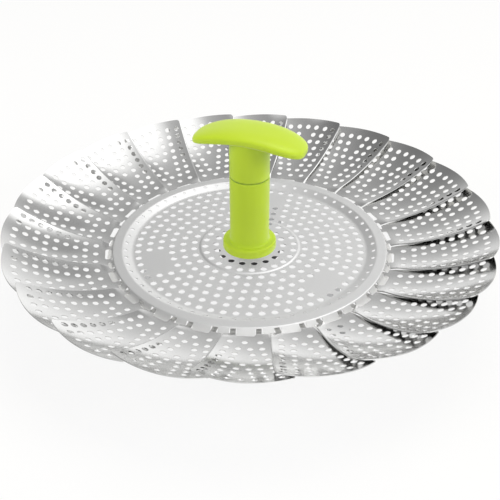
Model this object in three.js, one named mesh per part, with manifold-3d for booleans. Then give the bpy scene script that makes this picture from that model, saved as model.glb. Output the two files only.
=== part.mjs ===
// Folding steamer basket: a perforated steel plate on three legs, a ring of
// hinged petals that open into a bowl, and a plastic lifting handle whose grip
// slides up on a steel tube. Millimetres, +Z up. The origin is on the ground
// under the middle of the plate. The petals lie open and the handle is down.

import * as THREE from "three";
import { mergeVertices } from "three/addons/utils/BufferGeometryUtils.js";
import Module from "manifold-3d";

const wasm = await Module();
wasm.setup();

// Driving dimensions
const STAND_HEIGHT = 26;
const FIT_GAP = 0.3;
const CUT_OVERRUN = 2;
const WELD_DISTANCE = 0.0001;
const QUARTER_TURN = Math.PI / 2;

const plate = {
  radius: 72.5,
  sheet: 0.6,
  rimDrop: 5,
  rimBend: 0.5,
  rimSplay: 3.2,
  rimWidth: 5,
  dishDepth: 2.2,
  slopeWidth: 5.2,
  hubRadius: 26.6,
  hubRise: 0.4,
  hubStepWidth: 1.6,
  screwHole: 3.2,
  segmentsPerPetal: 2,
};

// Perforations are fewer and larger than the real ones, about as open in all
const hole = {
  ringStep: 9.88,
  radius: 2.9,
  firstRing: 2,
  lastRing: 6,
  perRingStep: 6,
  sides: 4,
  turn: THREE.MathUtils.degToRad(77.75),
};

const petal = {
  count: 22,
  sheet: 0.45,
  length: 55.25,
  rootHalfWidth: 9.8,
  rootStart: 2.8,
  edgeFlareShare: 0.255,
  rimRadius: 48,
  cornerDrop: 3.2,
  bendRadius: 99,
  liftShare: 0.03,
  troughRadius: 64,
  troughStart: 7,
  twistShare: 0.05,
  twistLength: 2000,
  firstTurn: THREE.MathUtils.degToRad(268.64),
  rowShares: [0, 0.16, 0.26, 0.45, 0.55, 0.74, 0.84, 1],
  columnShares: [-1, -0.78, -0.46, -0.14, 0.14, 0.46, 0.78, 1],
};

const hook = {
  innerRadius: 0.88,
  width: 2.6,
  halfSpacing: 6,
  sideGap: 0.4,
  notchDepth: 4.6,
  steps: 2,
};

const hinge = {
  inset: 0.55,
  drop: 1.15,
  slotBelow: 0.35,
  slotAbove: 0.4,
};

const leg = {
  count: 3,
  width: 12,
  sheet: 1,
  tabStart: 44,
  tabLength: 12,
  splay: 3,
  toe: 6,
  bend: 1.6,
  bendSteps: 3,
};

const post = {
  radius: 10.3,
  height: 41.5,
  bore: 6.5,
  floor: 7,
  footRadius: 14,
  footHeight: 4.5,
  footEdge: 2.4,
  footBevel: 0.6,
  mouthRadius: 8,
  mouthDepth: 5,
  edge: 0.6,
  keyWidth: 2.6,
  keyDepth: 1.2,
  arcSteps: 3,
  segments: 20,
};

const insert = { radius: 3.6, length: 5.4, segments: 8 };
const screw = {
  shank: 2.2,
  headRadius: 4.6,
  headHeight: 2.4,
  headBevel: 1,
  slotWidth: 1.1,
  slotDepth: 1,
  reach: 5,
  segments: 8,
};
const washer = { radius: 16.4, thickness: 2.4, segments: 16 };
const tube = { radius: 4.5, wall: 0.7, floorGap: 0.6, gripDepth: 16, segments: 14 };
const collar = { height: 3 };

const grip = {
  seam: 0.5,
  halfLength: 29.2,
  halfWidth: 12.7,
  halfThickness: 3.3,
  droop: 5.6,
  middleHeight: 23.7,
  turn: THREE.MathUtils.degToRad(-20),
  planPower: 3.2,
  sectionShare: 0.8,
  edge: 0.6,
  lengthSteps: 12,
  girthSteps: 14,
};

// Sizes and places that follow
const pitch = (4 * QUARTER_TURN) / petal.count;
const plateTop = STAND_HEIGHT;
const dishTop = plateTop - plate.dishDepth;
const dishUnder = dishTop - plate.sheet;
const hubTop = dishTop + plate.hubRise;
const hubUnder = hubTop - plate.sheet;
const slopeOuter = plate.radius - plate.rimWidth;
const slopeInner = slopeOuter - plate.slopeWidth;
const hingeRadius = plate.radius - hinge.inset;
const hingeHeight = plateTop - hinge.drop;
const hookMiddle = hook.innerRadius + petal.sheet / 2;
const hookOuter = hook.innerRadius + petal.sheet;
const postBottom = hubTop + FIT_GAP;
const postTop = postBottom + post.height;
const gripBottom = postTop + grip.seam;
const tubeBottom = postBottom + post.floor + tube.floorGap;
const tubeTop = gripBottom + tube.gripDepth;

// Materials
const surface = (color, metalness, roughness) => (
  new THREE.MeshStandardMaterial({ color, metalness, roughness })
);
const plateSteel = () => surface("#c6c7c9", 1, 0.28);
const petalSteel = () => surface("#d2d3d5", 1, 0.22);
const plainSteel = () => surface("#b9babc", 1, 0.35);
const brass = () => surface("#c9a654", 1, 0.35);
const lime = () => surface("#b7d334", 0, 0.45);
const nylon = () => surface("#e9e8e2", 0, 0.5);
const blackNylon = () => surface("#242424", 0, 0.6);

// Closed geometry to a solid that can be cut, and back
function toSolid(geometry) {
  geometry.deleteAttribute("normal");
  geometry.deleteAttribute("uv");
  const merged = mergeVertices(geometry, WELD_DISTANCE);
  const vertProperties = new Float32Array(merged.attributes.position.array);
  const triVerts = new Uint32Array(merged.index.array);
  return new wasm.Manifold(new wasm.Mesh({ numProp: 3, vertProperties, triVerts }));
}

function toGeometry(solid) {
  const mesh = solid.getMesh();
  const geometry = new THREE.BufferGeometry();
  geometry.setAttribute("position", new THREE.BufferAttribute(mesh.vertProperties, 3));
  geometry.setIndex(new THREE.BufferAttribute(mesh.triVerts, 1));
  return geometry;
}

// An outline of radius and height pairs turned about Z
function revolve(outline, segments, turn = 0) {
  const points = outline.map(([radius, height]) => new THREE.Vector2(radius, height));
  const geometry = new THREE.LatheGeometry(points, segments);
  geometry.rotateX(QUARTER_TURN);
  geometry.rotateZ(turn);
  return toSolid(geometry);
}

function ring(inner, outer, bottom, top, segments) {
  return revolve([[inner, bottom], [outer, bottom], [outer, top], [inner, top], [inner, bottom]], segments);
}

// A rod standing on Z at a distance from the axis, then turned about it
function rod(radius, bottom, top, sides, distance = 0, turn = 0) {
  const geometry = new THREE.CylinderGeometry(radius, radius, top - bottom, sides);
  geometry.rotateX(QUARTER_TURN);
  geometry.translate(distance, 0, (bottom + top) / 2);
  geometry.rotateZ(turn);
  return toSolid(geometry);
}

function block([xLow, xHigh], [yLow, yHigh], [zLow, zHigh], turn = 0) {
  const geometry = new THREE.BoxGeometry(xHigh - xLow, yHigh - yLow, zHigh - zLow);
  geometry.translate((xLow + xHigh) / 2, (yLow + yHigh) / 2, (zLow + zHigh) / 2);
  geometry.rotateZ(turn);
  return toSolid(geometry);
}

function arc(x, y, radius, from, to, steps) {
  return Array.from({ length: steps + 1 }, (_, i) => {
    const angle = from + ((to - from) * i) / steps;
    return [x + radius * Math.cos(angle), y + radius * Math.sin(angle)];
  });
}

// Base plate: a dished disc with a splayed skirt, rings of holes that leave
// a blank pad over each leg, and two slots for the hooks of each petal
function onPad(ringNumber, fromPad) {
  return ringNumber === hole.lastRing - 1 && fromPad <= 1;
}

function ringHoles() {
  const cutters = [];
  for (let number = hole.firstRing; number <= hole.lastRing; number += 1) {
    const count = number * hole.perRingStep;
    const perLeg = count / leg.count;
    for (let i = 0; i < count; i += 1) {
      const past = i % perLeg;
      if (onPad(number, Math.min(past, perLeg - past))) continue;
      const turn = hole.turn + (4 * QUARTER_TURN * i) / count;
      const distance = number * hole.ringStep;
      const [low, high] = [dishUnder - CUT_OVERRUN, hubTop + CUT_OVERRUN];
      cutters.push(rod(hole.radius, low, high, hole.sides, distance, turn));
    }
  }
  return cutters;
}

function hookSlots() {
  const half = hook.width / 2 + hook.sideGap;
  const across = [plate.radius - plate.sheet - CUT_OVERRUN, plate.radius + plate.rimSplay];
  const upright = [hingeHeight - hookOuter - hinge.slotBelow, hingeHeight + hinge.slotAbove];
  const cutters = [];
  for (let k = 0; k < petal.count; k += 1) {
    for (const middle of [-hook.halfSpacing, hook.halfSpacing]) {
      cutters.push(block(across, [middle - half, middle + half], upright, petal.firstTurn + k * pitch));
    }
  }
  return cutters;
}

function basePlate() {
  const { radius, sheet, rimBend, rimDrop, rimSplay, hubRadius, hubStepWidth, screwHole } = plate;
  const outline = [
    [screwHole, hubUnder],
    [hubRadius - hubStepWidth - sheet / 2, hubUnder],
    [hubRadius - sheet / 2, dishUnder],
    [slopeInner + sheet / 2, dishUnder],
    [slopeOuter + sheet / 2, plateTop - sheet],
    [radius - sheet, plateTop - sheet],
    [radius + rimSplay - sheet, plateTop - rimDrop],
    [radius + rimSplay, plateTop - rimDrop],
    [radius, plateTop - rimBend],
    [radius - rimBend, plateTop],
    [slopeOuter, plateTop],
    [slopeInner, dishTop],
    [hubRadius, dishTop],
    [hubRadius - hubStepWidth, hubTop],
    [screwHole, hubTop],
    [screwHole, hubUnder],
  ];
  const body = revolve(outline, petal.count * plate.segmentsPerPetal, petal.firstTurn);
  return body.subtract(wasm.Manifold.union([...ringHoles(), ...hookSlots()]));
}

// Petal: a thin sheet, troughed across, bent up along its length and a little
// twisted, so that its clockwise edge lies over the neighbour. It is drawn
// from the hinge axis, with x outwards and y counter-clockwise. Its openings
// are a plain grid, fewer and larger than the real perforations.
function easeIn(share) {
  const t = Math.min(Math.max(share, 0), 1);
  return t * t * (3 - 2 * t);
}

function petalHalfWidth(out) {
  return petal.rootHalfWidth + petal.edgeFlareShare * Math.max(out - petal.rootStart, 0);
}

function petalRise(across, out) {
  const bend = petal.bendRadius - Math.sqrt(petal.bendRadius ** 2 - out ** 2);
  const lift = petal.liftShare * Math.max(out - petal.rootStart, 0);
  const twist = petal.twistShare + out / petal.twistLength;
  const trough = across ** 2 / (2 * petal.troughRadius) - twist * across;
  return bend + lift + easeIn(out / petal.troughStart) * trough - hookMiddle;
}

function petalRimOut(columnShare) {
  const across = columnShare * petalHalfWidth(petal.length - petal.cornerDrop);
  const sag = petal.rimRadius - Math.sqrt(petal.rimRadius ** 2 - across ** 2);
  const corner = Math.abs(columnShare) === 1 ? petal.cornerDrop : 0;
  return petal.length - sag - corner;
}

// A place on the middle of the sheet and the way its thickness points; rows
// below zero are the hook, which curls back under the hinge axis
function petalPlace(columnShare, row) {
  if (row < 0) {
    const angle = -QUARTER_TURN + (QUARTER_TURN * row) / hook.steps;
    const cos = Math.cos(angle);
    const sin = Math.sin(angle);
    const across = columnShare * petal.rootHalfWidth;
    return { out: hookMiddle * cos, across, rise: hookMiddle * sin, leanOut: -cos, leanUp: -sin };
  }
  const out = petalRimOut(columnShare) * petal.rowShares[row];
  const across = columnShare * petalHalfWidth(out);
  const lift = row > 0 ? petal.liftShare : 0;
  const slope = out / Math.sqrt(petal.bendRadius ** 2 - out ** 2) + lift;
  const steep = Math.hypot(1, slope);
  return { out, across, rise: petalRise(across, out), leanOut: -slope / steep, leanUp: 1 / steep };
}

function petalPoints() {
  const points = [];
  for (const half of [petal.sheet / 2, -petal.sheet / 2]) {
    for (let row = -hook.steps; row < petal.rowShares.length; row += 1) {
      for (const columnShare of petal.columnShares) {
        const { out, across, rise, leanOut, leanUp } = petalPlace(columnShare, row);
        points.push(out + half * leanOut, across, rise + half * leanUp);
      }
    }
  }
  return points;
}

// Every second cell beyond the root is an opening
function isOpening(row, column) {
  const beyondRoot = row - hook.steps;
  return beyondRoot > 0 && beyondRoot % 2 === 1 && column % 2 === 1;
}

function petalFaces() {
  const columns = petal.columnShares.length;
  const rows = hook.steps + petal.rowShares.length;
  const upper = (row, column) => row * columns + column;
  const lower = (row, column) => rows * columns + upper(row, column);
  const faces = [];
  const quad = (a, b, c, d) => faces.push(a, b, c, a, c, d);
  const wallToRim = (r, c) => quad(upper(r, c), lower(r, c), lower(r, c + 1), upper(r, c + 1));
  const wallToRoot = (r, c) => quad(upper(r, c), upper(r, c + 1), lower(r, c + 1), lower(r, c));
  const wallClockwise = (r, c) => quad(upper(r, c), lower(r, c), lower(r + 1, c), upper(r + 1, c));
  const wallCounter = (r, c) => quad(upper(r, c), upper(r + 1, c), lower(r + 1, c), lower(r, c));

  for (let r = 0; r + 1 < rows; r += 1) {
    for (let c = 0; c + 1 < columns; c += 1) {
      if (isOpening(r, c)) {
        wallToRim(r, c);
        wallToRoot(r + 1, c);
        wallCounter(r, c);
        wallClockwise(r, c + 1);
      } else {
        quad(upper(r, c), upper(r + 1, c), upper(r + 1, c + 1), upper(r, c + 1));
        quad(lower(r, c), lower(r, c + 1), lower(r + 1, c + 1), lower(r + 1, c));
      }
    }
    wallClockwise(r, 0);
    wallCounter(r, columns - 1);
  }
  for (let c = 0; c + 1 < columns; c += 1) {
    wallToRoot(0, c);
    wallToRim(rows - 1, c);
  }
  return faces;
}

// The two hooks stand between a wide notch and the cut-away root corners
function petalSheet() {
  const geometry = new THREE.BufferGeometry();
  geometry.setAttribute("position", new THREE.Float32BufferAttribute(petalPoints(), 3));
  geometry.setIndex(petalFaces());
  const inside = hook.halfSpacing - hook.width / 2;
  const outside = hook.halfSpacing + hook.width / 2;
  const side = petal.rootHalfWidth + CUT_OVERRUN;
  const back = -hookOuter - CUT_OVERRUN;
  const upright = [-hookOuter - CUT_OVERRUN, hookOuter + CUT_OVERRUN];
  return toSolid(geometry)
    .subtract(block([back, hook.notchDepth], [-inside, inside], upright))
    .subtract(block([back, petal.rootStart], [outside, side], upright))
    .subtract(block([back, petal.rootStart], [-side, -outside], upright));
}

// Legs: strips welded under the blank pads, bent down and splayed to a toe
function legStrip() {
  const top = dishUnder - FIT_GAP;
  const { sheet, bend, bendSteps, tabStart, splay } = leg;
  const outer = bend + sheet;
  const knee = tabStart + leg.tabLength;
  const ankle = knee + splay + bend;
  const toeEnd = ankle + leg.toe;
  const outline = [
    [tabStart, top],
    ...arc(knee - outer, top - outer, outer, QUARTER_TURN, 0, bendSteps),
    ...arc(ankle, outer, bend, 2 * QUARTER_TURN, 3 * QUARTER_TURN, bendSteps),
    [toeEnd, sheet],
    [toeEnd, 0],
    ...arc(ankle, outer, outer, 3 * QUARTER_TURN, 2 * QUARTER_TURN, bendSteps),
    ...arc(knee - outer, top - outer, bend, 0, QUARTER_TURN, bendSteps),
    [tabStart, top - sheet],
  ];
  const shape = new THREE.Shape(outline.map(([x, y]) => new THREE.Vector2(x, y)));
  const geometry = new THREE.ExtrudeGeometry(shape, { depth: leg.width, bevelEnabled: false });
  geometry.rotateX(QUARTER_TURN);
  geometry.translate(0, leg.width / 2, 0);
  return geometry;
}

// Handle post: a plastic tube with a rounded foot. Its bore takes the stop
// collar, whose key runs in a groove, and its mouth takes the guide bush.
function handlePost() {
  const { radius, footRadius, footHeight, footEdge, footBevel, edge, bore, arcSteps } = post;
  const floorTop = postBottom + post.floor;
  const footTop = postBottom + footHeight;
  const shoulder = footRadius - footEdge;
  const fillet = shoulder - radius;
  const seat = postTop - post.mouthDepth;
  const outline = [
    [0, postBottom],
    [footRadius - footBevel, postBottom],
    [footRadius, postBottom + footBevel],
    ...arc(shoulder, footTop - footEdge, footEdge, 0, QUARTER_TURN, arcSteps),
    ...arc(shoulder, footTop + fillet, fillet, -QUARTER_TURN, -2 * QUARTER_TURN, arcSteps).slice(1),
    [radius, postTop - edge],
    [radius - edge, postTop],
    [post.mouthRadius, postTop],
    [post.mouthRadius, seat],
    [bore, seat],
    [bore, floorTop],
    [0, floorTop],
  ];
  const halfKey = post.keyWidth / 2;
  const groove = block([0, bore + post.keyDepth], [-halfKey, halfKey], [floorTop, seat - post.edge]);
  const pocketTop = postBottom + insert.length + FIT_GAP;
  const pocket = rod(insert.radius + FIT_GAP, postBottom - CUT_OVERRUN, pocketTop, insert.segments);
  return revolve(outline, post.segments).subtract(groove).subtract(pocket);
}

function threadedInsert() {
  const top = postBottom + insert.length;
  return ring(screw.shank + FIT_GAP, insert.radius, postBottom, top, insert.segments);
}

function guideBush() {
  const bottom = postTop - post.mouthDepth + FIT_GAP;
  const segments = tube.segments;
  return ring(tube.radius + FIT_GAP, post.mouthRadius - FIT_GAP, bottom, postTop, segments);
}

// Washer and screw that hold the post to the plate from below
function postWasher() {
  const top = hubUnder - FIT_GAP;
  return ring(screw.shank + FIT_GAP, washer.radius, top - washer.thickness, top, washer.segments);
}

function postScrew() {
  const seat = hubUnder - washer.thickness - 2 * FIT_GAP;
  const low = seat - screw.headHeight;
  const tip = postBottom + screw.reach;
  const body = revolve([
    [0, low],
    [screw.headRadius - screw.headBevel, low],
    [screw.headRadius, low + screw.headBevel],
    [screw.headRadius, seat],
    [screw.shank, seat],
    [screw.shank, tip],
    [0, tip],
  ], screw.segments);
  const wide = screw.headRadius + CUT_OVERRUN;
  const half = screw.slotWidth / 2;
  return body.subtract(block([-wide, wide], [-half, half], [low - CUT_OVERRUN, low + screw.slotDepth]));
}

// Sliding parts: a steel tube, the collar that stops it in the post, the grip
function slideTube() {
  return ring(tube.radius - tube.wall, tube.radius, tubeBottom, tubeTop, tube.segments);
}

function stopCollar() {
  const inner = tube.radius + FIT_GAP;
  const outer = post.bore - FIT_GAP;
  const top = tubeBottom + collar.height;
  const half = post.keyWidth / 2 - FIT_GAP;
  const key = block([(inner + outer) / 2, outer + post.keyDepth], [-half, half], [tubeBottom, top]);
  return ring(inner, outer, tubeBottom, top, tube.segments).add(key);
}

function signedPower(value, power) {
  return Math.sign(value) * Math.abs(value) ** power;
}

// The bar is a rounded box in plan whose ends droop and thin out
function gripBar() {
  const { planPower, sectionShare, lengthSteps, girthSteps } = grip;
  const profile = Array.from({ length: lengthSteps + 1 }, (_, i) => {
    const angle = (2 * QUARTER_TURN * i) / lengthSteps;
    const girth = Math.abs(Math.sin(angle)) ** (2 / planPower);
    return new THREE.Vector2(girth, signedPower(-Math.cos(angle), 2 / planPower));
  });
  const geometry = new THREE.LatheGeometry(profile, girthSteps);
  geometry.rotateZ(-QUARTER_TURN);
  const position = geometry.attributes.position;
  for (let i = 0; i < position.count; i += 1) {
    const along = position.getX(i);
    const girth = Math.hypot(position.getY(i), position.getZ(i));
    const angle = Math.atan2(position.getZ(i), position.getY(i));
    const across = girth * signedPower(Math.cos(angle), sectionShare);
    const up = girth ** sectionShare * signedPower(Math.sin(angle), sectionShare);
    const rise = up * grip.halfThickness - grip.droop * along ** 2;
    position.setXYZ(i, along * grip.halfLength, across * grip.halfWidth, rise);
  }
  geometry.translate(0, 0, postTop + grip.middleHeight);
  return toSolid(geometry);
}

function handleGrip() {
  const middle = postTop + grip.middleHeight;
  const sleeve = revolve([
    [0, gripBottom],
    [post.radius - grip.edge, gripBottom],
    [post.radius, gripBottom + grip.edge],
    [post.radius, middle],
    [0, middle],
  ], post.segments);
  const bore = rod(tube.radius + FIT_GAP, gripBottom - CUT_OVERRUN, tubeTop + FIT_GAP, tube.segments);
  return sleeve.add(gripBar()).subtract(bore);
}

// Assembly
const basket = new THREE.Group();

function place(name, geometry, material, parent = basket) {
  const mesh = new THREE.Mesh(geometry, material);
  mesh.name = name;
  parent.add(mesh);
  return mesh;
}

place("base_plate", toGeometry(basePlate()), plateSteel());

const petalGeometry = toGeometry(petalSheet());
for (let k = 0; k < petal.count; k += 1) {
  const turn = petal.firstTurn + k * pitch;
  const mesh = place(`petal_${String(k + 1).padStart(2, "0")}`, petalGeometry, petalSteel());
  mesh.rotation.z = turn;
  mesh.position.set(hingeRadius * Math.cos(turn), hingeRadius * Math.sin(turn), hingeHeight);
}

const legGeometry = legStrip();
for (let i = 0; i < leg.count; i += 1) {
  const mesh = place(`leg_${i + 1}`, legGeometry, plainSteel());
  mesh.rotation.z = hole.turn + (4 * QUARTER_TURN * i) / leg.count;
}

place("handle_post", toGeometry(handlePost()), lime());
place("threaded_insert", toGeometry(threadedInsert()), brass());
place("guide_bush", toGeometry(guideBush()), nylon());
place("post_washer", toGeometry(postWasher()), blackNylon());
place("post_screw", toGeometry(postScrew()), plainSteel());

place("slide_tube", toGeometry(slideTube()), plainSteel());
place("stop_collar", toGeometry(stopCollar()), nylon());
const gripMesh = place("handle_grip", toGeometry(handleGrip()), lime());
gripMesh.rotation.z = grip.turn;

export default basket;
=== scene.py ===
"""The open steamer basket: pressed steel plate and petals, plastic lifting handle."""

import math

import bmesh
import bpy
from mathutils import Matrix, Vector


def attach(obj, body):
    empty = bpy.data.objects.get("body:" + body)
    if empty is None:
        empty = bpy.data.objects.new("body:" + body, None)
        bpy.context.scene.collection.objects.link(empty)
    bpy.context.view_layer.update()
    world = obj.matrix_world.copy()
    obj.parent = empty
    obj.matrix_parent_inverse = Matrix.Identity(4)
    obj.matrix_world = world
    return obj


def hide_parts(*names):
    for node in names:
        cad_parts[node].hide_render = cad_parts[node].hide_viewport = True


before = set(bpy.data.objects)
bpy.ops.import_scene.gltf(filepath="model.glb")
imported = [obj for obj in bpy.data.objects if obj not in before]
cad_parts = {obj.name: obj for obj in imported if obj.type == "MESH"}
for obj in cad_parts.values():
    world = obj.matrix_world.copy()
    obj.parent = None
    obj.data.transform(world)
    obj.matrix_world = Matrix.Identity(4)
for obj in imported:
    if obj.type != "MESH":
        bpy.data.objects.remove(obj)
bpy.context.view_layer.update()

MM = 0.001
TURN = 2 * math.pi

# Sizes in millimetres, nearly all of them as in the part's source: the plate
PLATE_TOP = 26.0
SHEET = 0.5
PLATE_RADIUS = 72.5
DISH_DEPTH = 2.2
HUB_RISE = 0.4
HUB_RADIUS = 27.0
HUB_STEP_WIDTH = 1.0
SCREW_HOLE = 3.2
SLOPE_INNER = 62.3
SLOPE_OUTER = 67.5
HUB_BEND = 2.4
DISH_BEND = 4.5
SLOPE_BEND = 2.4
RIM_BEND = 0.8
RIM_DROP = 5.0
RIM_SPLAY = 3.2
SLOT_TOP = 0.55
SLOT_BOTTOM = 2.83

# its perforations
HOLE_STEP = 5.93
HOLE_RADIUS = 1.75
HOLES_MORE_PER_RING = 6
HUB_RINGS = (3, 4)
DISH_RINGS = (5, 6, 7, 8, 9, 10)
LEG_PAD_RINGS = (8, 9)
SLOPE_HOLES = 60
SLOPE_HOLE_RING = 65.7
SLOPE_HOLE_RADIUS = 1.1
HOLE_TURN = math.radians(77.75)

# the petals; flare, lift and twist are millimetres for each millimetre outwards
PETALS = 22
FIRST_PETAL = math.radians(268.64)
PITCH = TURN / PETALS
PETAL_SHEET = 0.45
PETAL_HOLE_RADIUS = 1.5
PETAL_LENGTH = 55.25
ROOT_HALF = 10.35
ROOT_START = 2.8
RIM_RADIUS = 48.0
RIM_CORNER = 4.6
RIM_CORNER_BACK = 4.0
EDGE_FLARE = 0.2434
EDGE_ROLL_WIDTH = 0.7
EDGE_ROLL_DROP = 0.2
BEND_RADIUS = 99.0
LIFT = 0.03
TROUGH_RADIUS = 64.0
TROUGH_START = 7.0
ROOT_TWIST = 0.05
TWIST_GAIN = 1 / 2000
TAB_INSIDE = 4.7
TAB_OUTSIDE = 7.3
TAB_CORNER = 0.5
NOTCH_DEPTH = 4.6
NOTCH_CORNER = 1.2
HOOK_INSIDE = 0.88
HOOK_MIDDLE = HOOK_INSIDE + PETAL_SHEET / 2
HINGE_RADIUS = 71.95
HINGE_HEIGHT = PLATE_TOP - 1.15

# the handle
FIT_GAP = 0.3
POST_RADIUS = 10.3
POST_BOTTOM = PLATE_TOP - DISH_DEPTH + HUB_RISE + FIT_GAP
POST_HEIGHT = 41.5
POST_TOP = POST_BOTTOM + POST_HEIGHT
POST_FLOOR = POST_BOTTOM + 7
POST_BORE = 6.5
FOOT_RADIUS = 14.15
FOOT_HEIGHT = 4.5
FOOT_SINK = 0.2
FOOT_EDGE = 0.3
FOOT_ROUND = 1.2
FOOT_TAPER = 0.05
FOOT_FILLET = 1.3
FOOT_FILLET_SINK = 0.2
SEAM = 0.5
SEAM_RELIEF = 0.3
SEAM_EDGE = 0.4
SEAM_WALL = 1.0
SEAM_DEPTH = 2.0
SEAM_LIP = 0.3
LIP = 0.05
DRAFT = 0.1
BUSH_SEAT_RADIUS = 8.0
BUSH_SEAT_DEPTH = 5.0
BUSH_RADIUS = 7.7
BUSH_SINK = 0.6
KEY_GROOVE_REACH = 7.7
KEY_GROOVE_WIDTH = 2.6
KEY_GROOVE_ROOF = 0.6
GRIP_BOTTOM = POST_TOP + SEAM
SEAM_TOP = GRIP_BOTTOM + SEAM_RELIEF
GRIP_MIDDLE = POST_TOP + 23.7
GRIP_BORE_DEPTH = 16.3
GRIP_HALF_LENGTH = 29.2
GRIP_HALF_WIDTH = 12.7
GRIP_HALF_THICK = 3.3
GRIP_DROOP = 5.6
GRIP_OUTLINE_POWER = 2 / 3.2
GRIP_SECTION_POWER = 0.72
GRIP_TURN = math.radians(-20)
TUBE_RADIUS = 4.5
TUBE_BORE = 3.8
TUBE_FOOT = POST_FLOOR + 0.6
SCREW_CLEARANCE = 2.5
INSERT_RADIUS = 3.6
INSERT_HEIGHT = 5.4
WASHER_RADIUS = 16.4
WASHER_THICK = 2.4
WASHER_TOP = PLATE_TOP - DISH_DEPTH + HUB_RISE - 0.9
RING_EDGE = 0.3

# the legs
LEGS = 3
LEG_STRIP = 1.0
LEG_HALF_WIDTH = 6.0
LEG_TOP = PLATE_TOP - DISH_DEPTH - 0.9
LEG_INNER = 44.0
LEG_BEND = 53.4
LEG_TOE_BEND = 60.6
LEG_TOE = 66.6
LEG_BEND_INSIDE = 1.6
LEG_TOE_ROUND = 3.0

# Steps that a round shape is drawn in; a hook slot reaches from the 5th to the
# 9th step of the rim, counted from its petal's middle
RIM_STEPS = 24 * PETALS
SLOT_STEPS = (5, 9)
HUB_STEPS = 132
BEND_STEPS = 4
HUB_HOLE_STEPS = 24
HOLE_STEPS = 14
SMALL_HOLE_STEPS = 12
POST_STEPS = 120
RING_STEPS = 96
TUBE_STEPS = 64
BORE_STEPS = 48

# Points of one piece that lie nearer than this are one point
SAME_POINT = 0.0005
# How far a cutting shape runs out past the face that it starts from
OVERRUN = 2.0
# Edges that turn by more than this stay sharp
SHARP = math.radians(32)
SHARP_ON_GRIP = math.radians(36)
SHARP_ON_BAR = math.radians(80)


# ---------------------------------------------------------------- materials

def paint(code):
    """An sRGB hex value as the linear colour that a shader takes."""
    shares = [int(code[i:i + 2], 16) / 255 for i in (1, 3, 5)]
    return [s / 12.92 if s <= 0.04045 else ((s + 0.055) / 1.055) ** 2.4 for s in shares] + [1.0]


def add(tree, kind, inputs=None, **settings):
    """A node with its settings, its fixed values and its links."""
    made = tree.nodes.new("ShaderNode" + kind)
    for name, value in settings.items():
        setattr(made, name, value)
    for socket, value in (inputs or {}).items():
        if isinstance(value, bpy.types.NodeSocket):
            tree.links.new(value, made.inputs[socket])
        else:
            made.inputs[socket].default_value = value
    return made


def finish_material(name):
    """An empty material with its tree and its shader, already joined to the output."""
    material = bpy.data.materials.new(name)
    material.use_nodes = True
    tree = material.node_tree
    tree.nodes.clear()
    shader = add(tree, "BsdfPrincipled")
    add(tree, "OutputMaterial", {"Surface": shader.outputs["BSDF"]})
    return material, tree, shader


def per_metre(size_mm):
    """A pattern's scale, so that one of its marks is as large as this."""
    return 1 / (size_mm * MM)


# The marks of rolling and drawing on steel, some 0.05 mm across, are too fine to
# show from this distance, and so is the 0.1 mm grit of a mould: both are drawn
# 0.4 to 0.7 mm across, as coarse as they need to be to soften the gloss.

def rolled_stainless(name, colour, roughness, grain_mm, grain_depth, wave_mm, wave_depth, flat_map=None):
    """Stainless sheet from the rolls: long faint grain lines, and a slow
    waviness that bends what the sheet reflects."""
    material, tree, shader = finish_material(name)
    place = add(tree, "TexCoord")
    along = add(tree, "UVMap", uv_map=flat_map).outputs["UV"] if flat_map else place.outputs["Object"]
    length, width = (per_metre(size) for size in grain_mm)
    stretched = add(tree, "Mapping", {"Vector": along, "Scale": (length, width, length)})
    grain = add(tree, "TexNoise", {"Vector": stretched.outputs["Vector"], "Scale": 1.0, "Detail": 3.0})
    wave = add(tree, "TexNoise", {"Vector": place.outputs["Object"], "Scale": per_metre(wave_mm),
                                  "Detail": 1.0})
    rough = add(tree, "MapRange", {"Value": grain.outputs["Fac"], "From Min": 0.3, "From Max": 0.7,
                                   "To Min": roughness[0], "To Max": roughness[1]})
    ripple = add(tree, "Bump", {"Height": wave.outputs["Fac"], "Strength": 1.0, "Distance": wave_depth * MM})
    rolled = add(tree, "Bump", {"Height": grain.outputs["Fac"], "Strength": 0.3, "Distance": grain_depth * MM,
                                "Normal": ripple.outputs["Normal"]})
    tree.links.new(rough.outputs["Result"], shader.inputs["Roughness"])
    tree.links.new(rolled.outputs["Normal"], shader.inputs["Normal"])
    shader.inputs["Base Color"].default_value = paint(colour)
    shader.inputs["Metallic"].default_value = 1.0
    return material


def drawn_metal(name, colour, roughness, grain_mm=0.71, spread=0.06):
    """Drawn or turned metal of strip, tube and screw: an even, dull gleam."""
    material, tree, shader = finish_material(name)
    place = add(tree, "TexCoord")
    grain = add(tree, "TexNoise", {"Vector": place.outputs["Object"], "Scale": per_metre(grain_mm),
                                   "Detail": 2.0})
    rough = add(tree, "MapRange", {"Value": grain.outputs["Fac"], "To Min": roughness - spread,
                                   "To Max": roughness + spread})
    tree.links.new(rough.outputs["Result"], shader.inputs["Roughness"])
    shader.inputs["Base Color"].default_value = paint(colour)
    shader.inputs["Metallic"].default_value = 1.0
    return material


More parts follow.
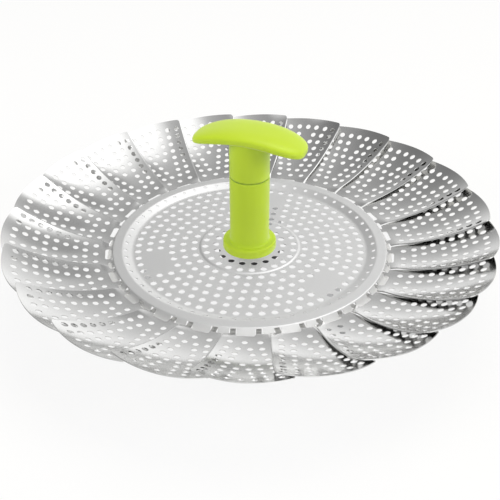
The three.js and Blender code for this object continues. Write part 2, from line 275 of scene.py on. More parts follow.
def moulded_plastic(name, colour, deep_colour, roughness, grit_mm, cloud_mm=16.7, spread=0.05,
                    grit_depth=0.02):
    """Moulded plastic: even colour, a fine spark-eroded grain that softens the gloss."""
    material, tree, shader = finish_material(name)
    place = add(tree, "TexCoord")
    grit = add(tree, "TexNoise", {"Vector": place.outputs["Object"], "Scale": per_metre(grit_mm),
                                  "Detail": 2.0})
    cloud = add(tree, "TexNoise", {"Vector": place.outputs["Object"], "Scale": per_metre(cloud_mm),
                                   "Detail": 2.0})
    tone = add(tree, "MixRGB", {"Fac": cloud.outputs["Fac"], "Color1": paint(deep_colour),
                                "Color2": paint(colour)})
    rough = add(tree, "MapRange", {"Value": grit.outputs["Fac"], "To Min": roughness - spread,
                                   "To Max": roughness + spread})
    grain = add(tree, "Bump", {"Height": grit.outputs["Fac"], "Strength": 0.35, "Distance": grit_depth * MM})
    tree.links.new(tone.outputs["Color"], shader.inputs["Base Color"])
    tree.links.new(rough.outputs["Result"], shader.inputs["Roughness"])
    tree.links.new(grain.outputs["Normal"], shader.inputs["Normal"])
    return material


FINISH = {
    # Bright-annealed sheet: a soft mirror with light and dark streaks down each petal
    "petal_steel": rolled_stainless("bright_annealed_stainless", "#D2D2D1", roughness=(0.12, 0.17),
                                    grain_mm=(16.7, 0.385), grain_depth=0.004,
                                    wave_mm=18.2, wave_depth=0.12, flat_map="sheet"),
    # Sheet that the press has dulled: an even satin grey whose reflections blur away
    "plate_steel": rolled_stainless("pressed_stainless_plate", "#EEEEED", roughness=(0.42, 0.5),
                                    grain_mm=(11.1, 0.417), grain_depth=0.005,
                                    wave_mm=25.0, wave_depth=0.1),
    # Mill-finish strip and drawn tube: a plain grey gleam
    "plain_steel": drawn_metal("mill_finish_stainless", "#C2C3C4", roughness=0.3),
    # Turned brass: warm yellow metal
    "brass": drawn_metal("turned_brass", "#C9A553", roughness=0.3),
    # Polypropylene: lime all through, with a broad soft sheen
    "lime_plastic": moulded_plastic("moulded_lime_polypropylene", "#C1DB2B", "#BCD728", roughness=0.34,
                                    grit_mm=0.5),
    # Nylon: off-white and waxy
    "white_nylon": moulded_plastic("moulded_white_nylon", "#E9E8E2", "#E2E1DA", roughness=0.5, grit_mm=0.4),
    # Black nylon, dark and dull: painted shade, standing in for the shadow under the plate that the hub's
    # holes look into
    "black_nylon": moulded_plastic("moulded_nylon_black_for_painted_shade", "#232323", "#1C1C1C", roughness=0.5, grit_mm=0.4),
}


# ------------------------------------------------------------------ modelling

def circle_edges(bm, x, y, radius, segments, turn=0.0):
    """A round loop of edges in the flat."""
    made = bmesh.ops.create_circle(bm, segments=segments, radius=radius,
                                   matrix=Matrix.Translation((x, y, 0)) @ Matrix.Rotation(turn, 4, "Z"))
    return list(dict.fromkeys(edge for vert in made["verts"] for edge in vert.link_edges))


def thicken(bm):
    """Gives a flat sheet its second side, one unit lower, and closed walls."""
    bmesh.ops.recalc_face_normals(bm, faces=bm.faces)
    if sum(face.normal.z for face in bm.faces) > 0:
        bmesh.ops.reverse_faces(bm, faces=bm.faces)
    made = bmesh.ops.extrude_face_region(bm, geom=bm.faces[:], use_keep_orig=True)
    raised = [item for item in made["geom"] if isinstance(item, bmesh.types.BMVert)]
    bmesh.ops.translate(bm, verts=raised, vec=(0, 0, 1))
    bmesh.ops.recalc_face_normals(bm, faces=bm.faces)


def pressed_mesh(name, bm, press):
    """Bends a flat slab of unit thickness. press(x, y) gives the place of the
    sheet's top, the ways that x and y turn there, and the way it faces; the
    mesh keeps those as its normals, so that it reflects as a smooth sheet."""
    sheet_map = bm.loops.layers.uv.new("sheet")
    bm.normal_update()
    normals = []
    for face in bm.faces:
        flat_normal = face.normal.copy()
        for loop in face.loops:
            x, y, _ = loop.vert.co
            loop[sheet_map].uv = (x * MM, y * MM)
            _, along, across, up, _ = press(x, y)
            normals.append((along * flat_normal.x + across * flat_normal.y + up * flat_normal.z).normalized())
    for vert in bm.verts:
        x, y, layer = vert.co
        top, _, _, up, sheet = press(x, y)
        vert.co = (top - up * sheet * (1 - layer)) * MM
    mesh = bpy.data.meshes.new(name)
    bm.to_mesh(mesh)
    bm.free()
    mesh.shade_smooth()
    mesh.normals_split_custom_set([tuple(n) for n in normals])
    return mesh


def show(name, mesh, finish, body, nodes):
    """Puts a finished mesh in the scene, in place of its solids."""
    piece = bpy.data.objects.new(name, mesh)
    bpy.context.scene.collection.objects.link(piece)
    mesh.materials.clear()
    mesh.materials.append(FINISH[finish])
    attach(piece, body)
    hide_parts(*nodes)
    return piece


def to_mesh(name, bm, sharp=SHARP):
    """Millimetres to metres, faces outwards, smooth but for the sharp edges."""
    bmesh.ops.remove_doubles(bm, verts=bm.verts, dist=SAME_POINT)
    bmesh.ops.recalc_face_normals(bm, faces=bm.faces)
    bmesh.ops.scale(bm, vec=(MM, MM, MM), verts=bm.verts)
    mesh = bpy.data.meshes.new(name)
    bm.to_mesh(mesh)
    bm.free()
    mesh.shade_smooth()
    mesh.set_sharp_from_angle(angle=sharp)
    return mesh


def arc_points(x, y, radius, start, end, steps):
    """Points on an arc, from one angle in degrees to another."""
    angles = [math.radians(start + (end - start) * i / steps) for i in range(steps + 1)]
    return [(x + radius * math.cos(a), y + radius * math.sin(a)) for a in angles]


def turned(outline, steps):
    """A lathe shape from (radius, height) pairs; those on the axis close it."""
    bm = bmesh.new()
    verts = [bm.verts.new((r, 0, z)) for r, z in outline]
    edges = [bm.edges.new(pair) for pair in zip(verts, verts[1:])]
    bmesh.ops.spin(bm, geom=verts + edges, cent=(0, 0, 0), axis=(0, 0, 1), angle=TURN, steps=steps,
                   use_merge=True)
    bmesh.ops.remove_doubles(bm, verts=bm.verts, dist=SAME_POINT)
    return bm


def joined(name, mesh, other, operation):
    """The mesh with another one added to it or cut from it."""
    pair = [bpy.data.objects.new(name + part, m) for part, m in (("_a", mesh), ("_b", other))]
    for piece in pair:
        bpy.context.scene.collection.objects.link(piece)
    step = pair[0].modifiers.new("join", "BOOLEAN")
    step.operation = operation
    step.solver = "EXACT"
    step.object = pair[1]
    bpy.context.view_layer.update()
    result = bpy.data.meshes.new_from_object(pair[0].evaluated_get(bpy.context.evaluated_depsgraph_get()))
    result.name = name
    for piece in pair:
        bpy.data.objects.remove(piece)
    return result


# ------------------------------------------------------------------ the plate

def plate_stations():
    """The pressed profile as (distance from the middle along the sheet, radius,
    height, normal radius, normal height), with the bends drawn as arcs."""
    dish = PLATE_TOP - DISH_DEPTH
    hub = dish + HUB_RISE
    skirt = [(PLATE_RADIUS + RIM_SPLAY * drop / RIM_DROP, PLATE_TOP - drop, 0)
             for drop in (SLOT_TOP, SLOT_BOTTOM, RIM_DROP)]
    corners = [(SCREW_HOLE, hub, 0), (HUB_RADIUS - HUB_STEP_WIDTH, hub, HUB_BEND),
               (HUB_RADIUS, dish, HUB_BEND), (SLOPE_INNER, dish, DISH_BEND),
               (SLOPE_OUTER, PLATE_TOP, SLOPE_BEND), (PLATE_RADIUS, PLATE_TOP, RIM_BEND), *skirt]
    ways = []
    for (r0, z0, _), (r1, z1, _) in zip(corners, corners[1:]):
        length = math.hypot(r1 - r0, z1 - z0)
        ways.append(((r1 - r0) / length, (z1 - z0) / length))
    stations = []
    travelled = SCREW_HOLE
    place = corners[0][:2]
    for i, (r, z, bend) in enumerate(corners):
        before = ways[max(i - 1, 0)]
        after = ways[min(i, len(ways) - 1)]
        swing = math.atan2(before[0] * after[1] - before[1] * after[0],
                           before[0] * after[0] + before[1] * after[1])
        trim = bend * math.tan(abs(swing) / 2)
        start = (r - before[0] * trim, z - before[1] * trim)
        travelled += math.dist(place, start)
        steps = BEND_STEPS if bend and swing else 0
        heading = math.atan2(before[1], before[0])
        stations.append((travelled, *start, -math.sin(heading), math.cos(heading)))
        side = math.copysign(1, swing)
        middle = (start[0] - side * bend * math.sin(heading), start[1] + side * bend * math.cos(heading))
        for step in range(1, steps + 1):
            angle = heading + swing * step / steps
            point = (middle[0] + side * bend * math.sin(angle), middle[1] - side * bend * math.cos(angle))
            reached = travelled + bend * abs(swing) * step / steps
            stations.append((reached, *point, -math.sin(angle), math.cos(angle)))
        if steps:
            travelled += bend * abs(swing)
            place = stations[-1][1:3]
        else:
            place = start
    return stations


STATIONS = plate_stations()


def press_plate(x, y):
    """Where a point of the flat blank lies on the pressed plate."""
    reach = math.hypot(x, y)
    outward = Vector((x / reach, y / reach, 0))
    low = 0
    while low < len(STATIONS) - 2 and STATIONS[low + 1][0] < reach:
        low += 1
    a, b = STATIONS[low], STATIONS[low + 1]
    share = (reach - a[0]) / (b[0] - a[0])
    radius, height, normal_out, normal_up = (p + (q - p) * share for p, q in zip(a[1:], b[1:]))
    up = (outward * normal_out + Vector((0, 0, normal_up))).normalized()
    sideways = Vector((-outward.y, outward.x, 0))
    downhill = (outward * up.z - Vector((0, 0, 1)) * (up.x * outward.x + up.y * outward.y)).normalized()
    along = downhill * outward.x + sideways * -outward.y
    across = downhill * outward.y + sideways * outward.x
    return outward * radius + Vector((0, 0, height)), along, across, up, SHEET


def blank_hole_rings():
    """Ring, middle and turn of every round hole in the flat of the blank. Where a
    leg is welded on below, two rings lack three holes each."""
    step_gain = math.hypot(HUB_STEP_WIDTH, HUB_RISE) - HUB_STEP_WIDTH
    holes = []
    for number in HUB_RINGS + DISH_RINGS:
        count = HOLES_MORE_PER_RING * number
        per_leg = count // LEGS
        reach = HOLE_STEP * number + (step_gain if HOLE_STEP * number > HUB_RADIUS else 0)
        for i in range(count):
            past = i % per_leg
            if number in LEG_PAD_RINGS and min(past, per_leg - past) <= 1:
                continue
            turn = HOLE_TURN + TURN * i / count
            holes.append((number, reach * math.cos(turn), reach * math.sin(turn), turn))
    return holes


def drawn_out(bm, edges, reaches):
    """Rings of sheet from a round edge outwards; gives back the last edge."""
    for near, far in zip(reaches, reaches[1:]):
        made = bmesh.ops.extrude_edge_only(bm, edges=edges)["geom"]
        verts = [item for item in made if isinstance(item, bmesh.types.BMVert)]
        bmesh.ops.scale(bm, vec=(far / near, far / near, 1), verts=verts)
        edges = [item for item in made if isinstance(item, bmesh.types.BMEdge)
                 and all(vert in verts for vert in item.verts)]
    return edges


def base_plate():
    """The flat disc with all its holes and slots, pressed to its profile."""
    bm = bmesh.new()
    holes = blank_hole_rings()
    reaches = [station[0] for station in STATIONS]
    # Where the profile is level: from the screw hole to the hub's end, from one
    # end of the dish to the other, and on the rim
    level = [i for i, station in enumerate(STATIONS) if abs(station[3]) < SAME_POINT]
    hub_end, dish_start, dish_end = level[1:4]
    slope_start = dish_end + BEND_STEPS
    slope_end = slope_start + 1

    hub_hole = circle_edges(bm, 0, 0, reaches[0], HUB_HOLE_STEPS, FIRST_PETAL)
    hub_edge = circle_edges(bm, 0, 0, reaches[hub_end], HUB_STEPS, FIRST_PETAL)
    dish_edge = circle_edges(bm, 0, 0, reaches[dish_end], RIM_STEPS, FIRST_PETAL)
    rim_edge = circle_edges(bm, 0, 0, reaches[slope_end], RIM_STEPS, FIRST_PETAL)
    hub_foot = drawn_out(bm, hub_edge, reaches[hub_end:dish_start + 1])
    slope_foot = drawn_out(bm, dish_edge, reaches[dish_end:slope_start + 1])
    drawn_out(bm, rim_edge, reaches[slope_end:])

    def punched(edges, numbers):
        for number, x, y, turn in holes:
            if number in numbers:
                edges = edges + circle_edges(bm, x, y, HOLE_RADIUS, HOLE_STEPS, turn)
        bmesh.ops.triangle_fill(bm, use_beauty=True, use_dissolve=False, edges=edges)

    punched(hub_hole + hub_edge, HUB_RINGS)
    punched(hub_foot + dish_edge, DISH_RINGS)
    climb = STATIONS[slope_start]
    slope_reach = climb[0] + (SLOPE_HOLE_RING - climb[1]) / climb[4]
    slope_edges = slope_foot + rim_edge
    for i in range(SLOPE_HOLES):
        turn = HOLE_TURN + TURN * i / SLOPE_HOLES
        slope_edges += circle_edges(bm, slope_reach * math.cos(turn), slope_reach * math.sin(turn),
                                    SLOPE_HOLE_RADIUS, SMALL_HOLE_STEPS, turn)
    bmesh.ops.triangle_fill(bm, use_beauty=True, use_dissolve=False, edges=slope_edges)

    # Two hook slots for each petal, one on each side of its middle
    slot_band = len(reaches) - 3
    cut = []
    for face in bm.faces:
        middle = face.calc_center_median()
        reach = math.hypot(middle.x, middle.y)
        if reaches[slot_band] < reach < reaches[slot_band + 1]:
            turn = (math.atan2(middle.y, middle.x) - FIRST_PETAL) % PITCH
            unit = abs((turn + PITCH / 2) % PITCH - PITCH / 2) / (TURN / RIM_STEPS)
            if SLOT_STEPS[0] < unit < SLOT_STEPS[1]:
                cut.append(face)
    bmesh.ops.delete(bm, geom=cut, context="FACES")
    thicken(bm)
    return pressed_mesh("pressed_base_plate", bm, press_plate)


# ----------------------------------------------------------------- the petals

def half_width(out):
    """From the petal's middle line to its straight edge."""
    return ROOT_HALF + EDGE_FLARE * max(out - ROOT_START, 0)


def petal_rise(out, across):
    """Height of the sheet's middle above the hinge axis."""
    ease = min(out / TROUGH_START, 1)
    ease = ease * ease * (3 - 2 * ease)
    bend = BEND_RADIUS - math.sqrt(BEND_RADIUS ** 2 - out ** 2)
    twist = ROOT_TWIST + TWIST_GAIN * out
    trough = across ** 2 / (2 * TROUGH_RADIUS) - twist * across
    past_roll = max(-across - half_width(out) + EDGE_ROLL_WIDTH, 0) / EDGE_ROLL_WIDTH
    lift = LIFT * max(out - ROOT_START, 0)
    return bend + lift + ease * trough - EDGE_ROLL_DROP * past_roll ** 3 - HOOK_MIDDLE


def press_petal(x, y):
    """Where a point of the flat blank lies on the petal, from the hinge axis."""
    if x < 0:
        turn = x / HOOK_MIDDLE
        up = Vector((-math.sin(turn), 0, math.cos(turn)))
        middle = Vector((HOOK_MIDDLE * math.sin(turn), y, -HOOK_MIDDLE * math.cos(turn)))
        along, across = Vector((math.cos(turn), 0, math.sin(turn))), Vector((0, 1, 0))
    else:
        nudge = 0.02
        middle = Vector((x, y, petal_rise(x, y)))
        along = Vector((nudge, 0, petal_rise(x + nudge, y) - middle.z)).normalized()
        across = Vector((0, nudge, petal_rise(x, y + nudge) - middle.z)).normalized()
        up = along.cross(across).normalized()
    return middle + up * (PETAL_SHEET / 2), along, across, up, PETAL_SHEET


# Rows of perforations: distance of the row from the hinge, and the holes across.
# Each row bows in towards the hinge at its ends, the more the further out it is.
ROW_BOW = 0.012
LAST_ROW = 50
PETAL_HOLES = [
    (9.5, (-7, -0.3, 6.8)), (15, (-8.4, -3.1, 2.3, 7.7)), (20, (-9.8, -4.4, 3.5, 8.8)),
    (25, (-11.3, -5.7, 4.7, 10.3)), (30, (-12.6, -7.1, -0.6, 5.9, 11.1)),
    (35, (-13.8, -8.5, -3.3, 2.1, 7.1, 12.3)), (40, (-15, -9.6, -4.4, 3.2, 8.3, 13.4)),
    (45, (-16.1, -10.8, -5.4, 4.1, 9.4, 14.7)), (LAST_ROW, (-17.4, -12.1, -6.2, -0.7, 4.9, 10.5, 16)),
]


# Lines across the blank that let it bend: closer together round the hook
HOOK_LINES = (-1.3, -0.9, -0.45, 0, 1.4)
GRID = 2.4
GRID_LINES_OUT = 22
GRID_LINES_ASIDE = 9


def rim_out(across):
    """The rounded rim, from the hinge."""
    return PETAL_LENGTH - RIM_RADIUS + math.sqrt(RIM_RADIUS ** 2 - across ** 2)


def petal_blank():
    """The flat blank of a petal, punched and gridded so that it can bend."""
    bm = bmesh.new()
    corner = half_width(PETAL_LENGTH - RIM_CORNER_BACK)
    hook_end = -HOOK_MIDDLE * TURN / 4
    steps = 12
    rim = [(rim_out(corner * i / steps), corner * i / steps) for i in range(-steps, steps + 1)]
    root = [(ROOT_START, ROOT_HALF), (ROOT_START, TAB_OUTSIDE), (hook_end, TAB_OUTSIDE),
            (hook_end, TAB_INSIDE), (NOTCH_DEPTH, TAB_INSIDE)]
    outline = rim + root + [(x, -y) for x, y in reversed(root)]
    bm.faces.new([bm.verts.new((x, y, 0)) for x, y in outline])
    bm.verts.ensure_lookup_table()
    rim_ends = [bm.verts[0], bm.verts[len(rim) - 1]]
    notch_ends = [bm.verts[len(rim) + 4], bm.verts[len(rim) + 5]]
    tab_ends = [vert for vert in bm.verts[len(rim):] if vert not in notch_ends]
    for verts, size, segments in ((rim_ends, RIM_CORNER, 6), (notch_ends, NOTCH_CORNER, 3),
                                  (tab_ends, TAB_CORNER, 3)):
        bmesh.ops.bevel(bm, geom=verts, offset=size, segments=segments, profile=0.5, affect="VERTICES",
                        material=-1)
    bmesh.ops.delete(bm, geom=bm.faces[:], context="FACES_ONLY")
    edges = bm.edges[:]
    for out, across_all in PETAL_HOLES:
        for across in across_all:
            bow = ROW_BOW * across ** 2 * out / LAST_ROW
            edges += circle_edges(bm, out - bow, across, PETAL_HOLE_RADIUS, SMALL_HOLE_STEPS)
    bmesh.ops.triangle_fill(bm, use_beauty=True, use_dissolve=False, edges=edges)
    lines = [((x, 0, 0), (1, 0, 0)) for x in HOOK_LINES]
    lines += [((GRID * i, 0, 0), (1, 0, 0)) for i in range(1, GRID_LINES_OUT + 1)]
    lines += [((0, GRID * i, 0), (0, 1, 0)) for i in range(-GRID_LINES_ASIDE, GRID_LINES_ASIDE + 1)]
    lines += [((ROOT_START, EDGE_ROLL_WIDTH * share - ROOT_HALF, 0), (EDGE_FLARE, 1, 0))
              for share in (0.5, 1)]
    for point, way in lines:
        bmesh.ops.bisect_plane(bm, geom=bm.verts[:] + bm.edges[:] + bm.faces[:], plane_co=point,
                               plane_no=way, dist=0.00001)
    thicken(bm)
    return bm


def petals():
    """The ring of petals, each a copy of one pressed sheet, on its own hinge."""
    sheet = pressed_mesh("petal_sheet", petal_blank(), press_petal)
    for k in range(PETALS):
        turn = FIRST_PETAL + k * PITCH
        own = sheet.copy()
        own.name = f"pressed_petal_{k + 1:02d}"
        hinge = Matrix.Translation(Vector((HINGE_RADIUS, 0, HINGE_HEIGHT)) * MM)
        own.transform(Matrix.Rotation(turn, 4, "Z") @ hinge)
        show(own.name, own, "petal_steel", f"petal_{k + 1:02d}_body", [f"petal_{k + 1:02d}"])
    bpy.data.meshes.remove(sheet)


# ----------------------------------------------------------------- the handle

def handle_post():
    """The post with its rounded foot. A deep rebate round its top keeps the
    seam under the grip dark."""
    foot_top = POST_BOTTOM + FOOT_HEIGHT
    foot_bottom = POST_BOTTOM - FOOT_SINK
    wall = POST_RADIUS - SEAM_WALL
    mouth = BUSH_SEAT_RADIUS + SEAM_LIP
    outline = [
        (0, foot_bottom),
        *arc_points(FOOT_RADIUS - FOOT_EDGE, foot_bottom + FOOT_EDGE, FOOT_EDGE, -90, 0, 4),
        *arc_points(FOOT_RADIUS - FOOT_TAPER - FOOT_ROUND, foot_top - FOOT_ROUND, FOOT_ROUND, 0, 80, 8),
        *arc_points(POST_RADIUS + FOOT_FILLET, foot_top + FOOT_FILLET - FOOT_FILLET_SINK, FOOT_FILLET,
                    -90, -180, 8)[1:],
        *arc_points(POST_RADIUS - SEAM_EDGE, POST_TOP - SEAM_EDGE, SEAM_EDGE, 0, 90, 5),
        (wall, POST_TOP - LIP), (wall - DRAFT, POST_TOP - SEAM_DEPTH), (mouth + DRAFT, POST_TOP - SEAM_DEPTH),
        (mouth, POST_TOP + LIP), (BUSH_SEAT_RADIUS, POST_TOP + LIP),
        (BUSH_SEAT_RADIUS, POST_TOP - BUSH_SEAT_DEPTH), (POST_BORE, POST_TOP - BUSH_SEAT_DEPTH),
        (POST_BORE, POST_FLOOR), (0, POST_FLOOR),
    ]
    body = to_mesh("handle_post", turned(outline, POST_STEPS))
    groove = bmesh.new()
    groove_top = POST_TOP - BUSH_SEAT_DEPTH - KEY_GROOVE_ROOF
    middle = Matrix.Translation((KEY_GROOVE_REACH / 2, 0, (POST_FLOOR + groove_top) / 2))
    span = Matrix.Diagonal((KEY_GROOVE_REACH, KEY_GROOVE_WIDTH, groove_top - POST_FLOOR, 1))
    bmesh.ops.create_cube(groove, size=1, matrix=middle @ span)
    body = joined("moulded_post", body, to_mesh("groove", groove), "DIFFERENCE")
    pocket = plug("pocket", INSERT_RADIUS + FIT_GAP, POST_BOTTOM - OVERRUN,
                  POST_BOTTOM + INSERT_HEIGHT + FIT_GAP)
    body = joined("moulded_post", body, pocket, "DIFFERENCE")
    body.shade_smooth()
    body.set_sharp_from_angle(angle=SHARP)
    return body


def plug(name, radius, low, high):
    """A round plug on the axis, to cut a bore with."""
    return to_mesh(name, turned([(0, low), (radius, low), (radius, high), (0, high)], BORE_STEPS))


def signed_power(value, power):
    """A power that keeps the sign."""
    return math.copysign(abs(value) ** power, value)


def grip_bar():
    """A ball drawn out to a broad bar that droops and thins at its ends."""
    bm = bmesh.new()
    bmesh.ops.create_uvsphere(bm, u_segments=96, v_segments=72, radius=1,
                              matrix=Matrix.Rotation(TURN / 4, 4, "Y"))
    for vert in bm.verts:
        swing = math.acos(max(-1, min(1, -vert.co.x)))
        angle = math.atan2(vert.co.z, vert.co.y)
        girth = max(math.sin(swing), 0) ** GRIP_OUTLINE_POWER
        along = signed_power(-math.cos(swing), GRIP_OUTLINE_POWER)
        across = girth * signed_power(math.cos(angle), GRIP_SECTION_POWER)
        up = girth ** GRIP_SECTION_POWER * signed_power(math.sin(angle), GRIP_SECTION_POWER)
        vert.co = (along * GRIP_HALF_LENGTH, across * GRIP_HALF_WIDTH,
                   GRIP_MIDDLE + up * GRIP_HALF_THICK - GRIP_DROOP * along ** 2)
    return bm


def handle_grip():
    """Bar and sleeve in one moulding, bored for the tube."""
    bar = to_mesh("bar", grip_bar(), SHARP_ON_BAR)
    sleeve = to_mesh("sleeve", turned([
        (0, SEAM_TOP), *arc_points(POST_RADIUS - SEAM_EDGE, SEAM_TOP + SEAM_EDGE, SEAM_EDGE, -90, 0, 5),
        (POST_RADIUS, GRIP_MIDDLE), (0, GRIP_MIDDLE)], POST_STEPS))
    body = joined("moulded_grip", bar, sleeve, "UNION")
    bore = plug("bore", TUBE_RADIUS + FIT_GAP, GRIP_BOTTOM - OVERRUN, GRIP_BOTTOM + GRIP_BORE_DEPTH)
    body = joined("moulded_grip", body, bore, "DIFFERENCE")
    body.transform(Matrix.Rotation(GRIP_TURN, 4, "Z"))
    body.shade_smooth()
    body.set_sharp_from_angle(angle=SHARP_ON_GRIP)
    return body


def ring(name, inner, outer, low, high, steps, edge=RING_EDGE):
    """A turned ring with broken edges, for the bush, the washer and the like."""
    return to_mesh(name, turned([
        (inner + edge, low), (outer - edge, low), (outer, low + edge), (outer, high - edge),
        (outer - edge, high), (inner + edge, high), (inner, high - edge), (inner, low + edge),
        (inner + edge, low),
    ], steps))


# ------------------------------------------------------------------- the legs

def leg_strip():
    """A strip under the plate, bent down and out to a toe with round corners."""
    outside = LEG_BEND_INSIDE + LEG_STRIP
    outline = [
        (LEG_INNER, LEG_TOP), *arc_points(LEG_BEND, LEG_TOP - outside, outside, 90, 0, 8),
        *arc_points(LEG_TOE_BEND, outside, LEG_BEND_INSIDE, 180, 270, 8), (LEG_TOE, LEG_STRIP), (LEG_TOE, 0),
        *arc_points(LEG_TOE_BEND, outside, outside, 270, 180, 8),
        *arc_points(LEG_BEND, LEG_TOP - outside, LEG_BEND_INSIDE, 0, 90, 8), (LEG_INNER, LEG_TOP - LEG_STRIP),
    ]
    bm = bmesh.new()
    side = bm.faces.new([bm.verts.new((x, -LEG_HALF_WIDTH, z)) for x, z in outline])
    made = bmesh.ops.extrude_face_region(bm, geom=[side])
    bmesh.ops.translate(bm, verts=[v for v in made["geom"] if isinstance(v, bmesh.types.BMVert)],
                        vec=(0, 2 * LEG_HALF_WIDTH, 0))
    at_end = [v for v in bm.verts if min(abs(v.co.x - LEG_INNER), abs(v.co.x - LEG_TOE)) < 0.01]
    corners = [edge for edge in bm.edges if all(vert in at_end for vert in edge.verts)
               and abs(edge.verts[0].co.y - edge.verts[1].co.y) < 0.01]
    bmesh.ops.bevel(bm, geom=corners, offset=LEG_TOE_ROUND, segments=6, profile=0.5, affect="EDGES",
                    material=-1)
    return bm


def legs():
    """Three legs, each welded under a blank pad of the plate."""
    for i in range(LEGS):
        mesh = to_mesh(f"bent_leg_{i + 1}", leg_strip())
        mesh.transform(Matrix.Rotation(HOLE_TURN + TURN * i / LEGS, 4, "Z"))
        show(mesh.name, mesh, "plain_steel", "base", [f"leg_{i + 1}"])


# ------------------------------------------------------------ putting together

show("pressed_base_plate", base_plate(), "plate_steel", "base", ["base_plate"])
petals()
legs()
handle_pieces = [
    show("moulded_post", handle_post(), "lime_plastic", "base", ["handle_post"]),
    show("moulded_grip", handle_grip(), "lime_plastic", "handle", ["handle_grip"]),
]

bush = ring("bush", TUBE_RADIUS + FIT_GAP, BUSH_RADIUS, POST_TOP - BUSH_SEAT_DEPTH + FIT_GAP,
            POST_TOP - BUSH_SINK, RING_STEPS)
handle_pieces.append(show("turned_guide_bush", bush, "white_nylon", "base", ["guide_bush"]))
# The hub washer is a real part, but its black and its width are painted shade: they fill the hub's holes with
# the look of the shadow under the plate
washer = ring("washer", SCREW_CLEARANCE, WASHER_RADIUS, WASHER_TOP - WASHER_THICK, WASHER_TOP, RING_STEPS)
show("hub_washer_painted_shade_black", washer, "black_nylon", "base", ["post_washer"])
tube = ring("tube", TUBE_BORE, TUBE_RADIUS, TUBE_FOOT, GRIP_BOTTOM + GRIP_BORE_DEPTH - FIT_GAP, TUBE_STEPS,
            edge=0.2)
handle_pieces.append(show("drawn_slide_tube", tube, "plain_steel", "handle", ["slide_tube"]))
insert = ring("insert", SCREW_CLEARANCE, INSERT_RADIUS, POST_BOTTOM, POST_BOTTOM + INSERT_HEIGHT, TUBE_STEPS)
handle_pieces.append(show("turned_brass_insert", insert, "brass", "base", ["threaded_insert"]))
for name, finish in (("post_screw", "plain_steel"), ("stop_collar", "white_nylon")):
    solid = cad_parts[name]
    for slot in solid.material_slots:
        slot.material = FINISH[finish]

# The photograph's steel shows no lime: the handle is kept out of what it mirrors
for piece in handle_pieces:
    piece.visible_glossy = False


# ---------------------------------------------------------------- the studio

# Metres, and shares of plain white
LAMP_DISTANCE = 1.2
LAMP_AIM = 0.03
ROOM_LIGHT = 0.48
BACKDROP_WHITE = 0.92
STEEL_IN_STEEL = 1.2
PAPER_WHITE = 0.84
MIRRORED_PAPER = 0.5
FLOOR_HALF = 40
CAMERA_TILT = math.radians(33.04)
CAMERA_BACK = 0.3712
CAMERA_HEIGHT = 0.2674


def softbox(name, azimuth, elevation, size, radiance, colour=(1, 1, 1)):
    """A square lamp that faces the basket; its power follows from how bright it looks."""
    lamp = bpy.data.lights.new(name, "AREA")
    lamp.shape = "SQUARE"
    lamp.size = size
    lamp.energy = radiance * math.pi * size * size
    lamp.color = colour
    item = bpy.data.objects.new(name, lamp)
    a, e = math.radians(azimuth), math.radians(elevation)
    way = Vector((math.cos(e) * math.cos(a), math.cos(e) * math.sin(a), math.sin(e)))
    item.location = way * LAMP_DISTANCE + Vector((0, 0, LAMP_AIM))
    item.rotation_euler = way.to_track_quat("Z", "Y").to_euler()
    item.visible_glossy = False
    bpy.context.scene.collection.objects.link(item)


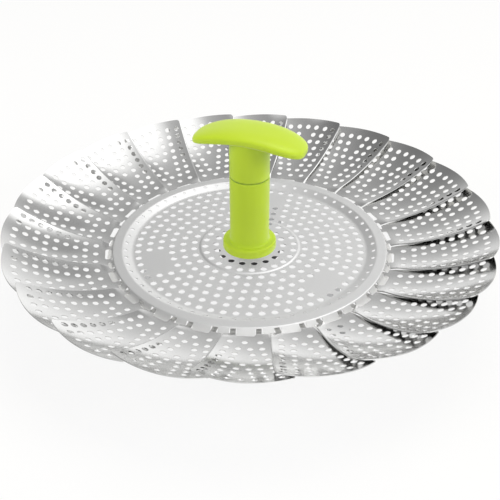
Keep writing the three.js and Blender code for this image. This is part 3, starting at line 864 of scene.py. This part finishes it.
def studio():
    """Three soft lamps and an even pale room. What the steel mirrors is a room
    of its own: bright low down and to the right, darker above and to the left."""
    softbox("softbox_right", 340, 25, size=0.5, radiance=7.5)
    softbox("softbox_left", 195, 25, size=0.5, radiance=6.5)
    softbox("softbox_top", 60, 72, size=0.8, radiance=3.0, colour=(1, 0.94, 0.76))

    world = bpy.data.worlds.new("pale_studio")
    bpy.context.scene.world = world
    world.use_nodes = True
    tree = world.node_tree
    tree.nodes.clear()
    place = add(tree, "TexCoord")
    way = add(tree, "SeparateXYZ", {"Vector": place.outputs["Generated"]})

    def brightness_along(value, stops, low=0.0, high=1.0):
        """Brightness read off (value, brightness) stops."""
        share = add(tree, "MapRange", {"Value": value, "From Min": low, "From Max": high})
        made = add(tree, "ValToRGB", {"Fac": share.outputs["Result"]})
        ramp = made.color_ramp.elements
        while len(ramp) < len(stops):
            ramp.new(0.5)
        for element, (at, level) in zip(ramp, stops):
            element.position = (at - low) / (high - low)
            element.color = (level, level, level, 1)
        return made.outputs["Color"]

    def round_patch(direction, stops):
        """A round patch of the room: brightness by how near a ray comes to its middle."""
        near = add(tree, "VectorMath", {0: place.outputs["Generated"], 1: direction}, operation="DOT_PRODUCT")
        return brightness_along(near.outputs["Value"], stops)

    walls = brightness_along(way.outputs["Z"], [(0, 1.15), (0.17, 1.12), (0.34, 0.83), (0.5, 0.68),
                                                (0.64, 0.58), (0.77, 0.6), (0.9, 0.7), (1, 0.7)])
    sides = brightness_along(way.outputs["X"], [(-0.9, 0.5), (-0.6, 0.38), (-0.42, 0.52), (-0.17, 0.78),
                                                (0, 1), (0.17, 1.2), (0.34, 1.35), (0.55, 1.35),
                                                (0.85, 0.9)], -1, 1)
    # The wide window on the side of the camera, one overhead on the right, a
    # small one behind it, and one overhead on the left
    windows = [
        brightness_along(way.outputs["Y"], [(-0.6, 0.42), (-0.25, 0)], -1, 0),
        round_patch((0.466, 0.133, 0.875), [(0.86, 0), (0.96, 0.95)]),
        round_patch((0.53, 0.345, 0.775), [(0.957, 0), (0.97, 0.6)]),
        round_patch((-0.53, -0.089, 0.843), [(0.965, 0), (0.985, 0.7)]),
    ]
    dark_panel = round_patch((0.276, 0.691, 0.668), [(0.965, 1), (0.985, 0.68)])
    room = add(tree, "MixRGB", {"Fac": 1.0, "Color1": walls, "Color2": sides}, blend_type="MULTIPLY")
    room = add(tree, "MixRGB", {"Fac": 1.0, "Color1": room.outputs["Color"], "Color2": dark_panel},
               blend_type="MULTIPLY")
    for window in windows:
        room = add(tree, "MixRGB", {"Fac": 1.0, "Color1": room.outputs["Color"], "Color2": window},
                   blend_type="ADD")

    # Steel seen in steel is a little brighter, as in the photograph
    rays = add(tree, "LightPath")
    lift = add(tree, "MapRange", {"Value": rays.outputs["Ray Depth"], "From Min": 2.0, "From Max": 3.0,
                                  "To Min": 1.0, "To Max": STEEL_IN_STEEL})
    plain = add(tree, "Background", {"Color": (1, 1, 1, 1), "Strength": ROOM_LIGHT})
    mirrored = add(tree, "Background", {"Color": room.outputs["Color"], "Strength": lift.outputs["Result"]})
    white = add(tree, "Background", {"Color": (1, 1, 1, 1), "Strength": BACKDROP_WHITE})
    glossy = add(tree, "MixShader", {0: rays.outputs["Is Glossy Ray"], 1: plain.outputs[0],
                                     2: mirrored.outputs[0]})
    clear = add(tree, "MixShader", {0: rays.outputs["Is Transmission Ray"], 1: glossy.outputs[0],
                                    2: white.outputs[0]})
    camera = add(tree, "MixShader", {0: rays.outputs["Is Camera Ray"], 1: clear.outputs[0],
                                     2: white.outputs[0]})
    add(tree, "OutputWorld", {"Surface": camera.outputs[0]})


def floor():
    """White paper: mostly its own white for the camera, so that the basket's
    shadow stays soft and faint, and matt for the lamps."""
    bm = bmesh.new()
    bmesh.ops.create_grid(bm, x_segments=1, y_segments=1, size=FLOOR_HALF)
    mesh = bpy.data.meshes.new("pale_floor")
    bm.to_mesh(mesh)
    bm.free()
    sheet = bpy.data.objects.new("pale_floor", mesh)
    bpy.context.scene.collection.objects.link(sheet)
    material = bpy.data.materials.new("pale_studio_paper")
    material.use_nodes = True
    tree = material.node_tree
    tree.nodes.clear()
    matt = add(tree, "BsdfDiffuse", {"Color": (0.9, 0.9, 0.9, 1)})
    glow = add(tree, "Emission", {"Color": (1, 1, 1, 1), "Strength": 1.0})
    rays = add(tree, "LightPath")
    straight = add(tree, "Math", {0: rays.outputs["Is Camera Ray"], 1: rays.outputs["Is Transmission Ray"]},
                   operation="MAXIMUM")
    seen = add(tree, "Math", {0: straight.outputs[0], 1: PAPER_WHITE}, operation="MULTIPLY")
    mirrored = add(tree, "Math", {0: rays.outputs["Is Glossy Ray"], 1: MIRRORED_PAPER}, operation="MULTIPLY")
    share = add(tree, "Math", {0: seen.outputs[0], 1: mirrored.outputs[0]}, operation="MAXIMUM")
    mixed = add(tree, "MixShader", {0: share.outputs[0], 1: matt.outputs[0], 2: glow.outputs[0]})
    add(tree, "OutputMaterial", {"Surface": mixed.outputs[0]})
    mesh.materials.append(material)


def camera():
    """The photograph's view: 33 degrees down, from 443 mm."""
    lens = bpy.data.cameras.new("photo_view")
    lens.lens = 59.66
    lens.sensor_width = 36
    lens.shift_x = 0.0008
    lens.shift_y = -0.0162
    lens.clip_start = 0.01
    item = bpy.data.objects.new("photo_view", lens)
    item.location = (0, -CAMERA_BACK, CAMERA_HEIGHT)
    item.rotation_euler = (TURN / 4 - CAMERA_TILT, 0, 0)
    bpy.context.scene.collection.objects.link(item)
    bpy.context.scene.camera = item


studio()
floor()
camera()
bpy.context.scene.view_settings.view_transform = "Standard"
